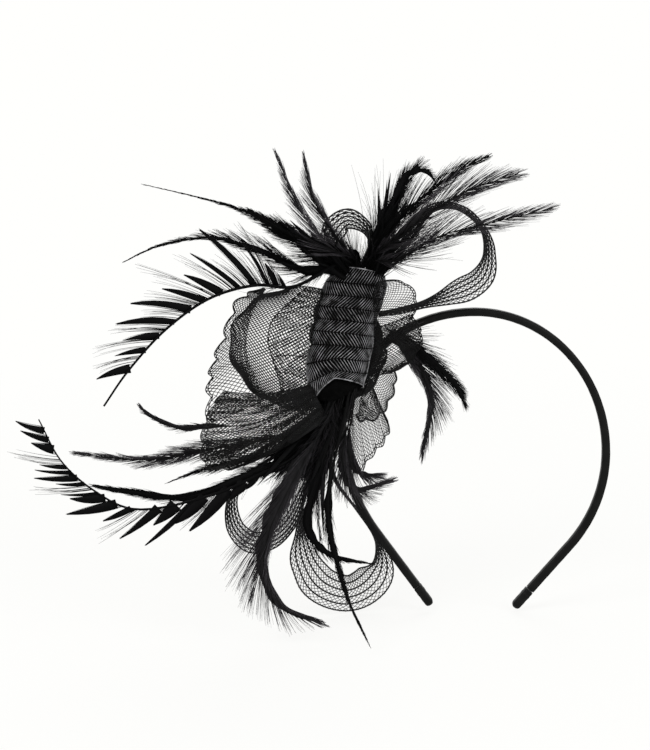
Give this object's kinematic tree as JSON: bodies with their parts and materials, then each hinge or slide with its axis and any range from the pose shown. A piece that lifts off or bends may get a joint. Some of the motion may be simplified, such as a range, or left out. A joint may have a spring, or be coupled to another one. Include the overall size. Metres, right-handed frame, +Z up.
{
  "type": "fascinator headpiece",
  "caption": "Slim satin-covered spring headband carrying a one-sided flower of crinoline petals, ribbon loops and curling cock feathers gathered through a rolled knot.",
  "frame": {"origin": "inner face of the headband at its crown, where it rests on the head", "axes": "+Z up, -Y towards whoever faces the wearer, +X to that viewer's right"},
  "size_m": [0.2682, 0.0918, 0.2257],
  "materials": {
    "black_satin": "soft satin ribbon, dark grey sheen",
    "spring_strip": "bare moulded spring strip, hidden in the sleeve",
    "crinoline": "open black horsehair braid, see-through",
    "crinoline_braid": "black braid ribbon with corded lines",
    "felt": "matt pressed felt",
    "binding_thread": "wound black thread",
    "feather": "black cock feather, faint gloss",
    "smoke_feather": "thin smoke-grey feather, partly see-through"
  },
  "bodies": {
    "flower_and_left_arm": {"band_core_left": "spring_strip", "satin_sleeve_left": "black_satin", "tip_cap_left": "black_satin", "felt_saddle": "felt", "felt_backing": "felt", "stem_binding": "binding_thread", "knot_inner_wrap": "crinoline", "knot_outer_wrap": "crinoline", "petal_left_puff": "crinoline", "petal_lower_left": "crinoline", "petal_right_top": "crinoline", "petal_right_middle": "crinoline", "petal_right_lower": "crinoline", "petal_right_bottom": "crinoline", "ruffle_rear_left": "crinoline", "crin_loop_top": "crinoline_braid", "crin_loop_right": "crinoline_braid", "crin_loop_lower_left": "crinoline_braid", "crin_loop_bottom": "crinoline_braid", "coque_upper_left": "feather", "hackle_curved_left": "feather", "hackle_dark_left": "feather", "hackle_upper_left": "feather", "hackle_right_high": "feather", "coque_lower_left": "feather", "hackle_lower_left": "feather", "spike_left": "feather", "quill_long_lower": "feather", "hackle_hooked": "feather", "spike_right_low": "feather", "spike_right_high": "feather", "hackle_right_droop": "feather", "hackle_tall_left": "smoke_feather", "hackle_tall_right": "smoke_feather", "hackle_plume": "smoke_feather", "hackle_right_middle": "smoke_feather", "hackle_right_low": "smoke_feather", "smoke_lower_left": "smoke_feather", "smoke_lower_wide": "smoke_feather", "wisp_lower_left": "smoke_feather", "wisp_lower_middle": "smoke_feather", "smoke_right_droop": "smoke_feather", "smoke_left_rear": "smoke_feather"},
    "right_arm": {"band_core_right": "spring_strip", "satin_sleeve_right": "black_satin", "tip_cap_right": "black_satin"}
  },
  "joints": [
    {"name": "crown_flex", "type": "hinge", "parent": "flower_and_left_arm", "child": "right_arm", "pos_m": [0, 0, 0.0037], "axis": [0, -1, 0], "range_deg": [0, 28], "stiffness_Nm_per_rad": 0.6}
  ]
}
